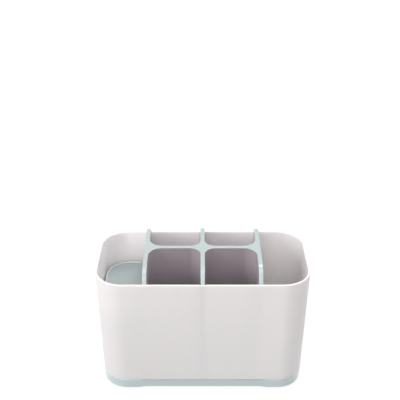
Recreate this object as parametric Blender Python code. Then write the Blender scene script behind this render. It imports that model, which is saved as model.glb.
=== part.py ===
"""Toothbrush caddy: a drip tray on four feet, a tapered sleeve that stands on it, and a lift-out divider.

Units are metres and +Z is up. The origin is the middle of the caddy on the surface that it stands on,
+X runs along its width and -Y is its front. Every piece is modelled where it sits when the caddy is put
together. The sleeve lifts straight up off the tray, and the divider lifts straight up out of the sleeve.
"""

import math

import bmesh
import bpy
from mathutils import Vector

# Sleeve: the tall outer wall, open at both ends
RIM_WIDTH = 0.178
RIM_DEPTH = 0.084
SLEEVE_HEIGHT = 0.101
SLEEVE_WALL = 0.0018
SLEEVE_DRAFT = 0.0022
RIM_CORNER_RADIUS = 0.0235
FOOT_EDGE_RADIUS = 0.0004

# Tray: a shallow dish with a skirt below the sleeve and a collar inside it
SKIRT_HEIGHT = 0.009
SKIRT_WALL = 0.0024
SKIRT_EDGE_RADIUS = 0.0014
SHOULDER_EDGE_RADIUS = 0.0004
COLLAR_RISE = 0.004
COLLAR_WALL = 0.0016
COLLAR_CLEARANCE = 0.0006
COLLAR_EDGE_RADIUS = 0.0005
ROOT_GROOVE_DEPTH = 0.0007
ROOT_GROOVE_WIDTH = 0.0008
BEAD_HEIGHT = 0.0003
BEAD_WIDTH = 0.0012
BEAD_ABOVE_SHOULDER = 0.0016
BEAD_FROM_END = 0.023
TRAY_FLOOR = 0.002
HOLLOW_DEPTH = 0.0034
DISH_END_RADIUS = 0.012
DISH_SIDE_RADIUS = 0.008
MOUTH_FROM_END = 0.033
MOUTH_SLANT = 0.0012
MOUTH_DROP = 0.0001
FINGER_RECESS_FROM_END = 0.033
FINGER_RECESS_DEPTH = 0.0012
FINGER_RECESS_RAMP = 0.006
NOTCH_SPACING = 0.078
NOTCH_LENGTH = 0.011
NOTCH_DEPTH = 0.0008

# Feet: four round pads let into the underside of the tray
FOOT_RADIUS = 0.005
FOOT_PROUD = 0.0008
FOOT_SOCKET_DEPTH = 0.0009
FOOT_FROM_END = 0.027
FOOT_FROM_SIDE = 0.023

# Divider: three upright walls joined by one web across the middle, with a shelf on the left wall
DIVIDER_HEIGHT = 0.107
SIDE_WALL_SPACING = 0.094
WALL_TOP_THICKNESS = 0.0034
WALL_FOOT_THICKNESS = 0.0021
WALL_EDGE_RADIUS = 0.0006
WEB_TOP_THICKNESS = 0.0034
WEB_FOOT_THICKNESS = 0.0021
SIDE_FILLET_RADIUS = 0.011
CENTRE_FILLET_RADIUS = 0.009
SHOULDER_RADIUS = 0.014
SHOULDER_RUN_OUT = 0.00002
DIVIDER_CLEARANCE = 0.001
SHELF_RISE = 0.0645
SHELF_THICKNESS = 0.0022
SHELF_CLEARANCE = 0.0012
SHELF_LIP_RISE = 0.0009
SHELF_LIP_WIDTH = 0.0017
SHELF_EDGE_RADIUS = 0.0006
SHELF_ROOT_RADIUS = 0.0025

# Channels in the front and back of the sleeve, which the edges of the divider's middle wall run in
CHANNEL_DEPTH = 0.0006
CHANNEL_SIDE_CLEARANCE = 0.0003
CHANNEL_END_CLEARANCE = 0.0003

# Gap that is left where one piece stands on another
SEAT_GAP = 0.0003

# How finely the round shapes are divided
CORNER_STEPS = 8
ROUND_STEPS = 4
DISH_STEPS = 7
SHOULDER_STEPS = 12
FOOT_SEGMENTS = 40

# Heights that follow from the sizes above
TRAY_UNDERSIDE = FOOT_PROUD
SHOULDER_HEIGHT = TRAY_UNDERSIDE + SKIRT_HEIGHT
COLLAR_TOP = SHOULDER_HEIGHT + COLLAR_RISE
DISH_FLOOR_HEIGHT = TRAY_UNDERSIDE + TRAY_FLOOR
SLEEVE_BASE = SHOULDER_HEIGHT + SEAT_GAP
SLEEVE_RIM = SLEEVE_BASE + SLEEVE_HEIGHT
DIVIDER_BASE = COLLAR_TOP + SEAT_GAP
DIVIDER_TOP = DIVIDER_BASE + DIVIDER_HEIGHT
SHELF_UNDERSIDE = DIVIDER_BASE + SHELF_RISE
SHELF_TOP = SHELF_UNDERSIDE + SHELF_THICKNESS
LIP_TOP = SHELF_TOP + SHELF_LIP_RISE
CUT_MARGIN = 0.01


def clear_scene():
    for old in list(bpy.data.objects):
        bpy.data.objects.remove(old, do_unlink=True)


def new_collection(name):
    collection = bpy.data.collections.new(name)
    bpy.context.scene.collection.children.link(collection)
    return collection


def plastic(name, colour, roughness, specular):
    """A moulded plastic or rubber finish."""
    material = bpy.data.materials.new(name)
    material.use_nodes = True
    shader = material.node_tree.nodes["Principled BSDF"]
    shader.inputs["Base Color"].default_value = (*colour, 1.0)
    shader.inputs["Roughness"].default_value = roughness
    shader.inputs["Metallic"].default_value = 0.0
    shader.inputs["Specular IOR Level"].default_value = specular
    return material


def mix(low, high, share):
    return low + (high - low) * share


def arc_angles(steps, first=0.0, last=90.0):
    """Angles in radians, evenly spaced between two given in degrees, both ends included."""
    return [math.radians(mix(first, last, k / steps)) for k in range(steps + 1)]


class Section:
    """A rounded rectangle across the caddy: half its width, half its depth and its corner radius."""

    def __init__(self, half_x, half_y, radius):
        self.half_x = half_x
        self.half_y = half_y
        self.radius = radius

    def inset(self, amount, amount_y=None):
        """The same outline moved in by an amount, or by unlike amounts at the ends and at the sides."""
        amount_y = amount if amount_y is None else amount_y
        radius = max(self.radius - max(amount, amount_y), 0.001)
        return Section(self.half_x - amount, self.half_y - amount_y, radius)

    def points(self, height):
        """The outline's points at a height, counter-clockwise seen from above."""
        corner_x = self.half_x - self.radius
        corner_y = self.half_y - self.radius
        found = []
        for sign_x, sign_y, start in ((1, 1, 0), (-1, 1, 90), (-1, -1, 180), (1, -1, 270)):
            for angle in arc_angles(CORNER_STEPS, start, start + 90):
                x = sign_x * corner_x + self.radius * math.cos(angle)
                y = sign_y * corner_y + self.radius * math.sin(angle)
                found.append(Vector((x, y, height)))
        return found


def sleeve_outside(height):
    """The sleeve's outer outline at a height. The skirt of the tray carries on along the same taper."""
    drawn_in = SLEEVE_DRAFT * (SLEEVE_RIM - height) / SLEEVE_HEIGHT
    return Section(RIM_WIDTH / 2 - drawn_in, RIM_DEPTH / 2 - drawn_in, RIM_CORNER_RADIUS - drawn_in)


def sleeve_inside(height):
    return sleeve_outside(height).inset(SLEEVE_WALL)


def mesh_object(name, bm, collection, material=None):
    """Finishes a bmesh as an object with smooth faces and sharp corners."""
    mesh = bpy.data.meshes.new(name)
    bm.to_mesh(mesh)
    bm.free()
    mesh.shade_smooth()
    mesh.set_sharp_from_angle(angle=math.radians(35))
    obj = bpy.data.objects.new(name, mesh)
    collection.objects.link(obj)
    if material:
        mesh.materials.append(material)
    return obj


def loft(rings, closed=False):
    """A skin through rings of equally many points. It is capped unless it is closed on itself."""
    bm = bmesh.new()
    loops = [[bm.verts.new(point) for point in ring] for ring in rings]
    pairs = list(zip(loops, loops[1:]))
    if closed:
        pairs.append((loops[-1], loops[0]))
    for lower, upper in pairs:
        for k in range(len(lower)):
            bm.faces.new((lower[k - 1], lower[k], upper[k], upper[k - 1]))
    if not closed:
        bm.faces.new(loops[0])
        bm.faces.new(loops[-1])
    bmesh.ops.recalc_face_normals(bm, faces=bm.faces)
    return bm


def prism_along_x(profile, low_x, high_x):
    """A closed outline in Y and Z, stretched from low_x to high_x."""
    return loft([[Vector((x, y, z)) for y, z in profile] for x in (low_x, high_x)])


def prism_along_y(profile, low_y, high_y):
    """A closed outline in X and Z, stretched from low_y to high_y."""
    return loft([[Vector((x, y, z)) for x, z in profile] for y in (low_y, high_y)])


def box(low, high):
    bm = bmesh.new()
    bmesh.ops.create_cube(bm, size=1.0)
    size = Vector(high) - Vector(low)
    bmesh.ops.scale(bm, verts=bm.verts, vec=size)
    bmesh.ops.translate(bm, verts=bm.verts, vec=(Vector(high) + Vector(low)) / 2)
    return bm


def join(pieces):
    """One bmesh holding the separate bodies of several."""
    whole = bmesh.new()
    for piece in pieces:
        mesh = bpy.data.meshes.new("body")
        piece.to_mesh(mesh)
        piece.free()
        whole.from_mesh(mesh)
        bpy.data.meshes.remove(mesh)
    return whole


def combine(obj, operation, bm, name, cutters):
    """Adds or cuts a shape with a Boolean that stays on the object."""
    tool = mesh_object(name, bm, cutters)
    tool.hide_render = True
    tool.display_type = "WIRE"
    modifier = obj.modifiers.new(name, "BOOLEAN")
    modifier.operation = operation
    modifier.solver = "EXACT"
    modifier.object = tool


def build_sleeve(parts, cutters, material):
    """A drafted tube: up the outside, over a full-round lip, and down the inside."""
    lip = SLEEVE_WALL / 2
    rings = []
    for angle in arc_angles(ROUND_STEPS):
        height = SLEEVE_BASE + FOOT_EDGE_RADIUS * (1 - math.sin(angle))
        inset = FOOT_EDGE_RADIUS * (1 - math.cos(angle))
        rings.insert(0, sleeve_outside(height).inset(inset).points(height))
    for angle in arc_angles(2 * ROUND_STEPS, 0, 180):
        height = SLEEVE_RIM - lip + lip * math.sin(angle)
        inset = lip * (1 - math.cos(angle))
        rings.append(sleeve_outside(height).inset(inset).points(height))
    rings.append(sleeve_inside(SLEEVE_BASE).points(SLEEVE_BASE))
    sleeve = mesh_object("outer_sleeve", loft(rings, closed=True), parts, material)

    # The channels start level with the collar and run out through the lip.
    half_width = WALL_TOP_THICKNESS / 2 + CHANNEL_SIDE_CLEARANCE
    channels = []
    for side in (-1, 1):
        rings = []
        for height in (COLLAR_TOP, SLEEVE_RIM + CUT_MARGIN):
            wall = sleeve_inside(height).half_y
            near = side * (wall - CUT_MARGIN)
            far = side * (wall + CHANNEL_DEPTH)
            corners = [(-half_width, near), (half_width, near), (half_width, far), (-half_width, far)]
            rings.append([Vector((x, y, height)) for x, y in corners])
        channels.append(loft(rings))
    combine(sleeve, "DIFFERENCE", join(channels), "sleeve_channels", cutters)
    return sleeve


def tray_rings():
    """The tray's section, from the middle of its underside round the skirt and collar to the dish floor."""
    collar = sleeve_inside(SLEEVE_BASE).inset(COLLAR_CLEARANCE)
    inner = collar.inset(COLLAR_WALL)
    rings = []

    # Underside: the bottom panel, then a hollow that follows the dish's cove, between it and the skirt
    dish_depth = COLLAR_TOP - COLLAR_EDGE_RADIUS - DISH_FLOOR_HEIGHT
    roof_angle = math.degrees(math.asin(1 - HOLLOW_DEPTH / dish_depth))
    for angle in arc_angles(DISH_STEPS, 90, roof_angle):
        across = 1 - math.cos(angle)
        dish = inner.inset(DISH_END_RADIUS * across, DISH_SIDE_RADIUS * across)
        height = TRAY_UNDERSIDE + dish_depth * (1 - math.sin(angle))
        rings.append(dish.inset(-TRAY_FLOOR).points(height))
    hollow_wall = sleeve_outside(TRAY_UNDERSIDE).inset(SKIRT_WALL)
    rings.append(hollow_wall.points(TRAY_UNDERSIDE + HOLLOW_DEPTH))
    rings.append(hollow_wall.points(TRAY_UNDERSIDE))

    # Skirt: a rounded foot, the drafted wall and a softened shoulder
    for angle in arc_angles(ROUND_STEPS):
        height = TRAY_UNDERSIDE + SKIRT_EDGE_RADIUS * (1 - math.cos(angle))
        inset = SKIRT_EDGE_RADIUS * (1 - math.sin(angle))
        rings.append(sleeve_outside(height).inset(inset).points(height))
    for angle in arc_angles(ROUND_STEPS):
        height = SHOULDER_HEIGHT - SHOULDER_EDGE_RADIUS * (1 - math.sin(angle))
        inset = SHOULDER_EDGE_RADIUS * (1 - math.cos(angle))
        rings.append(sleeve_outside(height).inset(inset).points(height))

    # Groove at the root of the collar, then the collar
    rings.append(collar.inset(-ROOT_GROOVE_WIDTH).points(SHOULDER_HEIGHT))
    rings.append(collar.inset(-ROOT_GROOVE_WIDTH).points(SHOULDER_HEIGHT - ROOT_GROOVE_DEPTH))
    rings.append(collar.points(SHOULDER_HEIGHT - ROOT_GROOVE_DEPTH))
    for angle in arc_angles(2 * ROUND_STEPS, 0, 180):
        height = COLLAR_TOP - COLLAR_EDGE_RADIUS * (1 - math.sin(angle))
        if angle <= math.radians(90):
            section = collar.inset(COLLAR_EDGE_RADIUS * (1 - math.cos(angle)))
        else:
            section = inner.inset(-COLLAR_EDGE_RADIUS * (1 + math.cos(angle)))
        rings.append(section.points(height))

    # Dish: a wide cove that is broader at the ends than along the sides
    for angle in arc_angles(DISH_STEPS)[1:]:
        across = 1 - math.cos(angle)
        height = DISH_FLOOR_HEIGHT + dish_depth * (1 - math.sin(angle))
        rings.append(inner.inset(DISH_END_RADIUS * across, DISH_SIDE_RADIUS * across).points(height))
    return rings


def snap_bead(side):
    """A low bead on the outer face of the collar, round one end of the tray."""
    collar = sleeve_inside(SLEEVE_BASE).inset(COLLAR_CLEARANCE)
    rings = []
    for share, proud in ((-0.5, 0.0), (-0.2, 1.0), (0.2, 1.0), (0.5, 0.0)):
        height = SHOULDER_HEIGHT + BEAD_ABOVE_SHOULDER + share * BEAD_WIDTH
        rings.append(collar.inset(-proud * BEAD_HEIGHT).points(height))
    for share in (0.5, -0.5):
        height = SHOULDER_HEIGHT + BEAD_ABOVE_SHOULDER + share * BEAD_WIDTH
        rings.append(collar.inset(COLLAR_WALL / 2).points(height))
    bm = loft(rings, closed=True)
    bmesh.ops.bisect_plane(
        bm,
        geom=bm.verts[:] + bm.edges[:] + bm.faces[:],
        dist=1e-7,
        plane_co=(side * (RIM_WIDTH / 2 - BEAD_FROM_END), 0, 0),
        plane_no=(side, 0, 0),
        clear_inner=True,
    )
    bmesh.ops.holes_fill(bm, edges=[edge for edge in bm.edges if edge.is_boundary])
    bmesh.ops.recalc_face_normals(bm, faces=bm.faces)
    return bm


def build_tray(parts, cutters, material):
    tray = mesh_object("base_tray", loft(tray_rings()), parts, material)
    collar = sleeve_inside(SLEEVE_BASE).inset(COLLAR_CLEARANCE)
    collar_face = collar.half_y

    combine(tray, "UNION", join([snap_bead(-1), snap_bead(1)]), "tray_snap_beads", cutters)

    # Mouth: the collar is open along the middle of the front, down to just past the floor of its groove
    low = SHOULDER_HEIGHT - ROOT_GROOVE_DEPTH - MOUTH_DROP
    high = COLLAR_TOP + CUT_MARGIN
    half = RIM_WIDTH / 2 - MOUTH_FROM_END
    slant_high = half + MOUTH_SLANT * (high - low) / COLLAR_RISE
    mouth_profile = [(-half, low), (half, low), (slant_high, high), (-slant_high, high)]
    outer = collar_face + ROOT_GROOVE_WIDTH + MOUTH_DROP
    inner = collar_face - COLLAR_WALL - CUT_MARGIN / 4
    mouth = prism_along_y(mouth_profile, -outer, -inner)
    combine(tray, "DIFFERENCE", mouth, "tray_mouth", cutters)

    # Finger recess in the front of the skirt, with a ramp at each end
    half = RIM_WIDTH / 2 - FINGER_RECESS_FROM_END
    rings = []
    for height in (TRAY_UNDERSIDE - CUT_MARGIN, SHOULDER_HEIGHT + CUT_MARGIN):
        face = -sleeve_outside(height).half_y
        deep = face + FINGER_RECESS_DEPTH
        out = face - CUT_MARGIN
        ramp_out = half + FINGER_RECESS_RAMP * (CUT_MARGIN / FINGER_RECESS_DEPTH)
        inside = half - FINGER_RECESS_RAMP
        corners = [(-ramp_out, out), (ramp_out, out), (inside, deep), (-inside, deep)]
        rings.append([Vector((x, y, height)) for x, y in corners])
    combine(tray, "DIFFERENCE", loft(rings), "tray_finger_recess", cutters)

    # Two shallow notches in the back of the collar's top edge
    notches = []
    for side in (-1, 1):
        middle = side * NOTCH_SPACING / 2
        low_corner = (middle - NOTCH_LENGTH / 2, collar_face - COLLAR_WALL / 2, COLLAR_TOP - NOTCH_DEPTH)
        high_corner = (middle + NOTCH_LENGTH / 2, collar_face + CUT_MARGIN / 4, COLLAR_TOP + CUT_MARGIN)
        notches.append(box(low_corner, high_corner))
    combine(tray, "DIFFERENCE", join(notches), "tray_back_notches", cutters)

    sockets = [foot_disc(place, FOOT_RADIUS + SEAT_GAP, FOOT_SOCKET_DEPTH, TRAY_UNDERSIDE - CUT_MARGIN)
               for place in foot_places().values()]
    combine(tray, "DIFFERENCE", join(sockets), "tray_foot_sockets", cutters)
    return tray


def foot_places():
    """Where the feet stand: each keeps its distance from the end and the side of the caddy."""
    out_x = RIM_WIDTH / 2 - FOOT_FROM_END
    out_y = RIM_DEPTH / 2 - FOOT_FROM_SIDE
    found = {}
    for name_y, side_y in (("front", -1), ("rear", 1)):
        for name_x, side_x in (("left", -1), ("right", 1)):
            found[f"{name_y}_{name_x}"] = (side_x * out_x, side_y * out_y)
    return found


def foot_disc(place, radius, depth, low):
    """A round shape from a low height up to a depth inside the tray's underside."""
    high = TRAY_UNDERSIDE + depth
    bm = bmesh.new()
    bmesh.ops.create_cone(
        bm, cap_ends=True, segments=FOOT_SEGMENTS, radius1=radius, radius2=radius, depth=high - low
    )
    bmesh.ops.translate(bm, verts=bm.verts, vec=(place[0], place[1], (low + high) / 2))
    return bm


def build_foot(name, place, parts, material):
    """A soft pad with a rounded lower edge, a little proud of the tray."""
    bm = foot_disc(place, FOOT_RADIUS, FOOT_SOCKET_DEPTH - SEAT_GAP, 0.0)
    rim = [edge for edge in bm.edges if all(vert.co.z < FOOT_PROUD / 2 for vert in edge.verts)]
    bmesh.ops.bevel(
        bm, geom=rim, affect="EDGES", offset=FOOT_PROUD / 2, segments=2, profile=0.5, material=-1
    )
    return mesh_object(f"foot_{name}", bm, parts, material)


def divider_half_depth(height):
    """How far the side walls reach to the front and back at a height, inside the sleeve's taper."""
    return sleeve_inside(height).half_y - DIVIDER_CLEARANCE


def middle_wall_half_depth(height):
    """The middle wall reaches on into the channels in the sleeve."""
    return sleeve_inside(height).half_y + CHANNEL_DEPTH - CHANNEL_END_CLEARANCE


def wall_thickness(height):
    return mix(WALL_FOOT_THICKNESS, WALL_TOP_THICKNESS, (height - DIVIDER_BASE) / DIVIDER_HEIGHT)


def fillet(centre, radius, start, end):
    """An arc in plan from one angle to another, in degrees."""
    turn = arc_angles(CORNER_STEPS, start, end)
    return [(centre[0] + radius * math.cos(a), centre[1] + radius * math.sin(a)) for a in turn]


def wall_end(x, half_thickness, reach):
    """The end of a wall at the back, with its two edges rounded, from the right to the left."""
    radius = min(WALL_EDGE_RADIUS, half_thickness)
    inset = half_thickness - radius
    right = [(x + inset + radius * math.cos(a), reach - radius + radius * math.sin(a)) for a in arc_angles(2)]
    return right + [(2 * x - point_x, y) for point_x, y in reversed(right)]


def divider_outline(height):
    """The divider in plan: three walls front to back and one web, with coves where they meet."""
    share = (height - DIVIDER_BASE) / DIVIDER_HEIGHT
    half_wall = wall_thickness(height) / 2
    half_web = mix(WEB_FOOT_THICKNESS, WEB_TOP_THICKNESS, share) / 2
    side_x = SIDE_WALL_SPACING / 2
    reach = divider_half_depth(height)
    middle_reach = middle_wall_half_depth(height)
    side_cove = side_x - half_wall - SIDE_FILLET_RADIUS
    side_cove_y = half_web + SIDE_FILLET_RADIUS
    centre_cove = half_wall + CENTRE_FILLET_RADIUS
    centre_cove_y = half_web + CENTRE_FILLET_RADIUS

    # The back half, from the right wall to the left; the front half is the same turned half round
    back = wall_end(side_x, half_wall, reach)
    back += fillet((side_cove, side_cove_y), SIDE_FILLET_RADIUS, 0, -90)
    back += fillet((centre_cove, centre_cove_y), CENTRE_FILLET_RADIUS, -90, -180)
    back += wall_end(0.0, half_wall, middle_reach)
    back += fillet((-centre_cove, centre_cove_y), CENTRE_FILLET_RADIUS, 0, -90)
    back += fillet((-side_cove, side_cove_y), SIDE_FILLET_RADIUS, -90, -180)
    back += wall_end(-side_x, half_wall, reach)
    outline = back + [(-x, -y) for x, y in back]
    return [Vector((x, y, height)) for x, y in outline]


def shoulder_cutter(half_depth_at, low_x, high_x, side):
    """What is cut from the top corner of a wall to leave a round shoulder. Its arc runs out of both faces."""
    lean = math.atan2(SLEEVE_DRAFT, SLEEVE_HEIGHT)
    centre_z = DIVIDER_TOP - SHOULDER_RADIUS + SHOULDER_RUN_OUT
    centre_y = half_depth_at(centre_z) - SHOULDER_RADIUS / math.cos(lean) + SHOULDER_RUN_OUT
    profile = []
    for angle in arc_angles(SHOULDER_STEPS, 90, -math.degrees(lean)):
        profile.append((centre_y + SHOULDER_RADIUS * math.cos(angle),
                        centre_z + SHOULDER_RADIUS * math.sin(angle)))
    last_y, last_z = profile[-1]
    profile.append((last_y + CUT_MARGIN, last_z))
    profile.append((last_y + CUT_MARGIN, DIVIDER_TOP + CUT_MARGIN))
    profile.append((centre_y, DIVIDER_TOP + CUT_MARGIN))
    return prism_along_x([(side * y, z) for y, z in profile], low_x, high_x)


def left_end_of(stations, right_limit):
    """A skin through insets of the shelf's outline at their heights, cut off square on its right."""
    outline = sleeve_inside(SHELF_UNDERSIDE).inset(SHELF_CLEARANCE)
    bm = loft([outline.inset(inset).points(height) for inset, height in stations])
    cut = bmesh.ops.bisect_plane(
        bm,
        geom=bm.verts[:] + bm.edges[:] + bm.faces[:],
        dist=1e-7,
        plane_co=(right_limit, 0, 0),
        plane_no=(1, 0, 0),
        clear_outer=True,
    )
    cut_edges = [item for item in cut["geom_cut"] if isinstance(item, bmesh.types.BMEdge)]
    bmesh.ops.contextual_create(bm, geom=cut_edges)
    bmesh.ops.recalc_face_normals(bm, faces=bm.faces)
    return bm


def shelf_plate():
    """The shelf fills the left end of the sleeve. It is a thin plate with soft edges, as high as its lip."""
    edge = SHELF_EDGE_RADIUS
    stations = []
    for angle in arc_angles(2):
        stations.append((edge * (1 - math.sin(angle)), SHELF_UNDERSIDE + edge * (1 - math.cos(angle))))
    for angle in arc_angles(2):
        stations.append((edge * (1 - math.cos(angle)), LIP_TOP - edge * (1 - math.sin(angle))))
    return left_end_of(stations, -SIDE_WALL_SPACING / 2)


def shelf_recess():
    """What is cut from the plate's top to leave a lip all round, along the wall too."""
    slope = SHELF_LIP_RISE / 2
    past_top = SHELF_LIP_RISE
    stations = [(SHELF_LIP_WIDTH, SHELF_TOP), (SHELF_LIP_WIDTH - 2 * slope, LIP_TOP + past_top)]
    wall_face = -(SIDE_WALL_SPACING + wall_thickness(LIP_TOP)) / 2
    return left_end_of(stations, wall_face - SHELF_LIP_WIDTH)


def shelf_root():
    """The cove between the wall and the underside of the shelf."""
    level = SHELF_UNDERSIDE
    radius = SHELF_ROOT_RADIUS
    buried = WALL_FOOT_THICKNESS / 4
    face = -(SIDE_WALL_SPACING + wall_thickness(level)) / 2
    centre = (face - radius, level - radius)
    profile = []
    for angle in arc_angles(ROUND_STEPS):
        profile.append((centre[0] + radius * math.cos(angle), centre[1] + radius * math.sin(angle)))
    profile.append((centre[0], level + buried))
    profile.append((face + 2 * buried, level + buried))
    profile.append((face + 2 * buried, level - radius))
    half = divider_half_depth(level) - SHELF_LIP_WIDTH / 2
    return prism_along_y(profile, -half, half)


def build_divider(parts, cutters, material):
    rings = [divider_outline(height) for height in (DIVIDER_BASE, DIVIDER_TOP)]
    divider = mesh_object("divider_insert", loft(rings), parts, material)

    # Each wall has its own cutter at each end, a little wider than the wall.
    half = WALL_TOP_THICKNESS / 2 + CUT_MARGIN / 4
    shoulders = []
    for side in (-1, 1):
        for x in (-SIDE_WALL_SPACING / 2, SIDE_WALL_SPACING / 2):
            shoulders.append(shoulder_cutter(divider_half_depth, x - half, x + half, side))
        shoulders.append(shoulder_cutter(middle_wall_half_depth, -half, half, side))
    combine(divider, "DIFFERENCE", join(shoulders), "divider_shoulders", cutters)
    combine(divider, "UNION", shelf_plate(), "divider_shelf", cutters)
    combine(divider, "UNION", shelf_root(), "divider_shelf_root", cutters)
    combine(divider, "DIFFERENCE", shelf_recess(), "divider_shelf_recess", cutters)
    return divider


def main():
    clear_scene()
    parts = new_collection("toothbrush_caddy")
    cutters = new_collection("cutters")
    cutters.hide_render = True
    grey_blue = plastic("grey_blue_plastic", (0.58, 0.64, 0.65), 0.28, 0.5)
    pale_pink = plastic("pale_pink_plastic", (0.85, 0.79, 0.78), 0.34, 0.5)
    rubber = plastic("grey_rubber", (0.32, 0.35, 0.35), 0.75, 0.3)

    build_tray(parts, cutters, grey_blue)
    for name, place in foot_places().items():
        build_foot(name, place, parts, rubber)
    build_sleeve(parts, cutters, pale_pink)
    build_divider(parts, cutters, grey_blue)


main()
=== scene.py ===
# %% [markdown]
# # A toothbrush caddy in three plastic mouldings
#
# The caddy is a tapered sleeve that stands on a shallow drip tray. A lift-out divider drops into the sleeve
# and makes upright pockets for brushes, with a small shelf at its left end.
#
# The imported CAD model gives every piece and the joints. This script models the sleeve, the divider and the
# tray again more finely, keeps the four rubber feet as they are packed, and gives every piece its finish,
# with light and shade painted into the colour of the plastics.

# %% Load the imported model
import math

import bmesh
import bpy
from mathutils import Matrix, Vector


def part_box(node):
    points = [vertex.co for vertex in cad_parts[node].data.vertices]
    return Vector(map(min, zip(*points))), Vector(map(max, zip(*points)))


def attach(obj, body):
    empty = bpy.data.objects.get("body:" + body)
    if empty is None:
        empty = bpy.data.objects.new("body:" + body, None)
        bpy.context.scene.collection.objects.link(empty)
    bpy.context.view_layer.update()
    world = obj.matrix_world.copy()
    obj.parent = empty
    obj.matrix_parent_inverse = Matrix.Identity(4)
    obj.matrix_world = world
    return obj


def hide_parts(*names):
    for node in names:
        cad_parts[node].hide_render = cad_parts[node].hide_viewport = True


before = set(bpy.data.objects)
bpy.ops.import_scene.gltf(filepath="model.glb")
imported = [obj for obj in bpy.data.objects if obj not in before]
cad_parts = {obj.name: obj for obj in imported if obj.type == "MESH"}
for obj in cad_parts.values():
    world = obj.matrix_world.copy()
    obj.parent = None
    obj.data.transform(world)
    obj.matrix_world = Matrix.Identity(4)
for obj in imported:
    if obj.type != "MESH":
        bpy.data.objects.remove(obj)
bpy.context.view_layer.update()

# %% [markdown]
# ## How a piece is finished
#
# A finished piece has its place in its mesh, so its object stays at the origin. `finish_piece` turns a bmesh
# into such an object, says which body carries it, and hides the CAD node that it stands for. It recalculates
# the normals first, because an extrusion can leave faces that point inwards.
#
# Smooth shading alone would bend the light across large flat faces. The Weighted Normal modifier keeps them
# flat in the light, so that a rounded edge shades only itself.

# %% Turn a bmesh into a finished piece
SHARP_ANGLE = math.radians(38)

def finish_piece(name, bm, body, node):
    """Makes the piece's object, on its body and in place of its CAD node."""
    bmesh.ops.recalc_face_normals(bm, faces=bm.faces)
    mesh = bpy.data.meshes.new(name)
    bm.to_mesh(mesh)
    bm.free()
    mesh.shade_smooth()
    mesh.set_sharp_from_angle(angle=SHARP_ANGLE)
    piece = bpy.data.objects.new(name, mesh)
    bpy.context.scene.collection.objects.link(piece)
    even = piece.modifiers.new("even_shading", "WEIGHTED_NORMAL")
    even.keep_sharp = True
    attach(piece, body)
    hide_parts(node)
    print(name, len(mesh.polygons), "faces")
    return piece

# %% [markdown]
# ## Helpers for modelling
#
# The sleeve and the tray share one outline, a rectangle with round corners. It could be drawn point by point,
# but `rounded_face` gets it from one flat face and a vertex bevel, whose radius and steps are easy to change.
# `bevel_edges` gives the bevel operator's options in one place.
#
# Four tolerances, in metres, say how near two places are to count as the same. `unique` keeps its items in
# order, because a set would mix them from run to run.

# %% Helpers that start and shape a mesh
CUT_TOLERANCE = 1e-7
SAME_PLACE = 1e-6
CLOSE = 1e-5
NEARBY = 1e-4

def rounded_face(bm, half_x, half_y, radius, height, steps):
    """One flat face at a height, with its corners rounded."""
    corners = bmesh.ops.create_grid(bm, x_segments=1, y_segments=1, size=1.0)["verts"]
    bmesh.ops.scale(bm, verts=corners, vec=(half_x, half_y, 1.0))
    bmesh.ops.translate(bm, verts=corners, vec=(0.0, 0.0, height))
    bmesh.ops.bevel(
        bm, geom=corners, affect="VERTICES", offset=radius, segments=steps, profile=0.5, material=-1
    )
    return bm.faces[:][0]

def bevel_edges(bm, edges, width, steps):
    """Rounds edges by one width and returns how many there were."""
    bmesh.ops.bevel(
        bm, geom=edges, affect="EDGES", offset=width, segments=steps, profile=0.5, material=-1,
        clamp_overlap=False,
    )
    return len(edges)

def inset(bm, face, width):
    """Draws the outline of a face in by one width, which leaves new faces round it."""
    bmesh.ops.inset_region(bm, faces=[face], thickness=width, use_boundary=True, use_even_offset=True)

def cut(bm, geom, place, direction):
    """Cuts geometry by a plane, which leaves edges where the plane was."""
    bmesh.ops.bisect_plane(bm, geom=geom, dist=CUT_TOLERANCE, plane_co=place, plane_no=direction)

def whole(bm):
    return bm.verts[:] + bm.edges[:] + bm.faces[:]

def unique(items):
    return list(dict.fromkeys(items))

def keep_verts(geom):
    return [item for item in geom if isinstance(item, bmesh.types.BMVert)]

# %% [markdown]
# ## Helpers for the painted light and shade
#
# Each moulding is one plastic, yet the photograph shows paler rims and deeper pockets. That is light and
# shade: rounded rims catch highlights, and less light reaches the depths. Here both are painted into the
# colour. Separate materials could show that with hard borders, but most of these tones change little by
# little.
#
# So two attributes on the mesh hold how strong the painted light and the painted shade are, from 0 to 1, and
# the materials read them later. The painted light has one value for a face, because a rim has a clear border.
# The painted shade has one for each corner of a face, so it changes within the face and can still jump where
# two faces meet.

# %% Helpers that write the painted light and shade
def mark_painted_light(piece, light_share):
    """Writes the painted light on the faces: 1 where a rim is painted palest, 0 on the plain walls."""
    rims = piece.data.attributes.new("painted_light", "FLOAT", "FACE")
    for face in piece.data.polygons:
        rims.data[face.index].value = light_share(face)
    print(piece.name, sum(item.value > 0 for item in rims.data), "pale faces")

def mark_painted_shade(piece, shade_share):
    """Writes the painted shade on the face corners: 1 where it is darkest, 0 where there is none."""
    walls = piece.data.attributes.new("painted_shade", "FLOAT", "CORNER")
    for face in piece.data.polygons:
        for loop in face.loop_indices:
            point = piece.data.vertices[piece.data.loops[loop].vertex_index].co
            walls.data[loop].value = shade_share(face, point)
    print(piece.name, sum(item.value > 0 for item in walls.data), "deeper face corners")

# %% [markdown]
# ## The sleeve
#
# The real sleeve is one thin drafted tube, whose walls lean in by 2.2 mm from rim to foot, so that it leaves
# its mould. A shallow channel with sloping sides runs down the middle of the back and front walls and keeps
# the divider central.
#
# It could be two lofted skins joined at both ends. Here the rim is drawn flat, as a rounded face that is
# inset, opened and notched for the channels. That ring is extruded down, and then each point is drawn in by
# its depth below the rim, square to the outline.

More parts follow.
